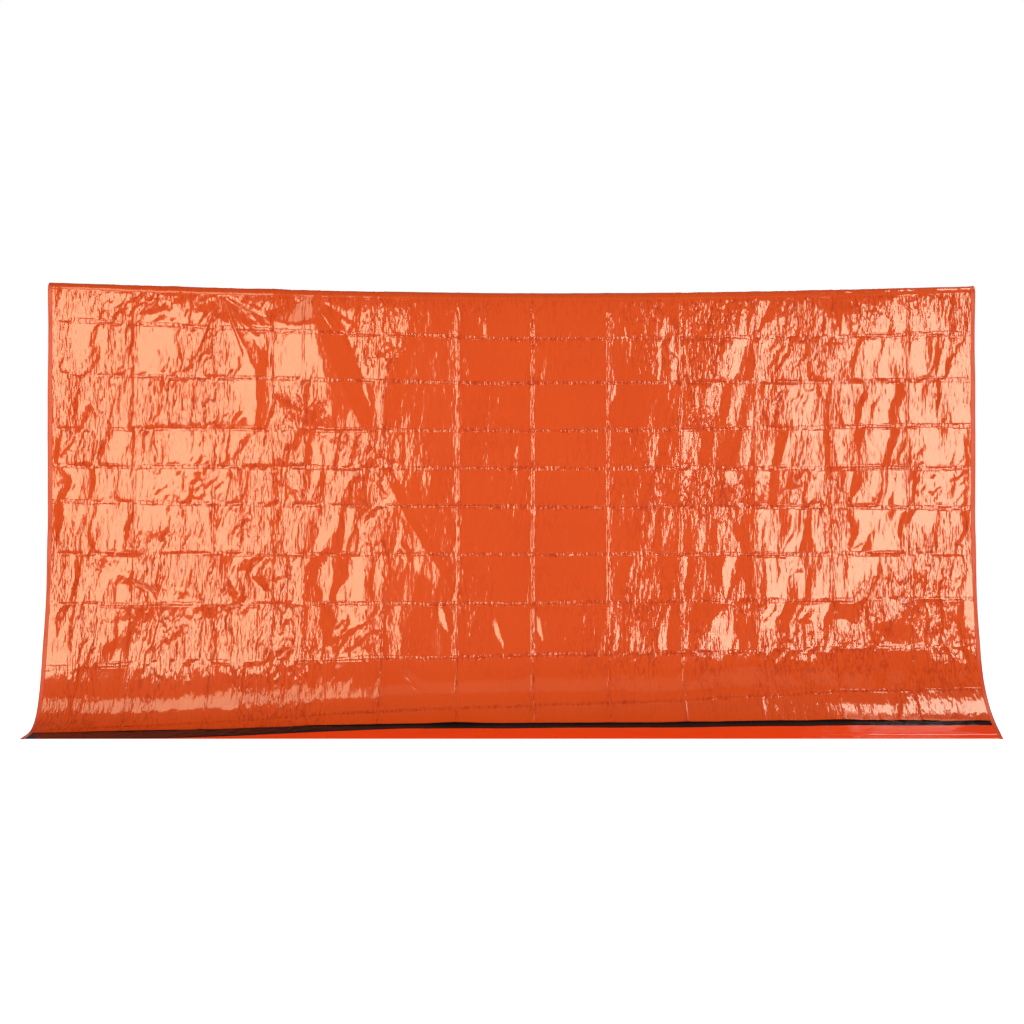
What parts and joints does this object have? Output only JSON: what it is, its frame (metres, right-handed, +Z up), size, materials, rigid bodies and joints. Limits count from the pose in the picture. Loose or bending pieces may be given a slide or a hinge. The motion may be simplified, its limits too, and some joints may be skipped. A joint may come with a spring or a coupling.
{
  "type": "bivy sack",
  "caption": "Emergency bivy sack of glossy orange film with a dark inside, hung by its closed end over a round bar, its long open mouth swept forward on the floor.",
  "frame": {"origin": "centre of the bar that the bag hangs over, half way along the bag", "axes": "+Z up, X along the bar and the bag's long side, -Y to the front, where the mouth sweeps out on the floor"},
  "size_m": [2, 0.2417, 0.9439],
  "materials": {
    "orange_film": "gloss",
    "dark_lining": "gloss",
    "sealed_film": "satin",
    "hem_film": "gloss"
  },
  "bodies": {
    "back": {"back_panel_film": "orange_film", "back_panel_lining": "dark_lining", "bar_wrap_back_ply": "orange_film", "bar_wrap_front_ply": "orange_film", "tail_back_ply": "orange_film", "tail_front_ply": "orange_film", "closed_edge_fold": "sealed_film", "left_side_seam": "sealed_film", "right_side_seam": "sealed_film", "turned_up_hem": "hem_film", "mouth_fold": "hem_film"},
    "front": {"front_panel_film": "orange_film", "front_panel_lining": "dark_lining", "front_lip": "sealed_film"}
  },
  "joints": [
    {"name": "mouth_open", "type": "hinge", "parent": "back", "child": "front", "pos_m": [0, -0.01825, 0], "axis": [-1, 0, 0], "range_deg": [0, 12]}
  ]
}
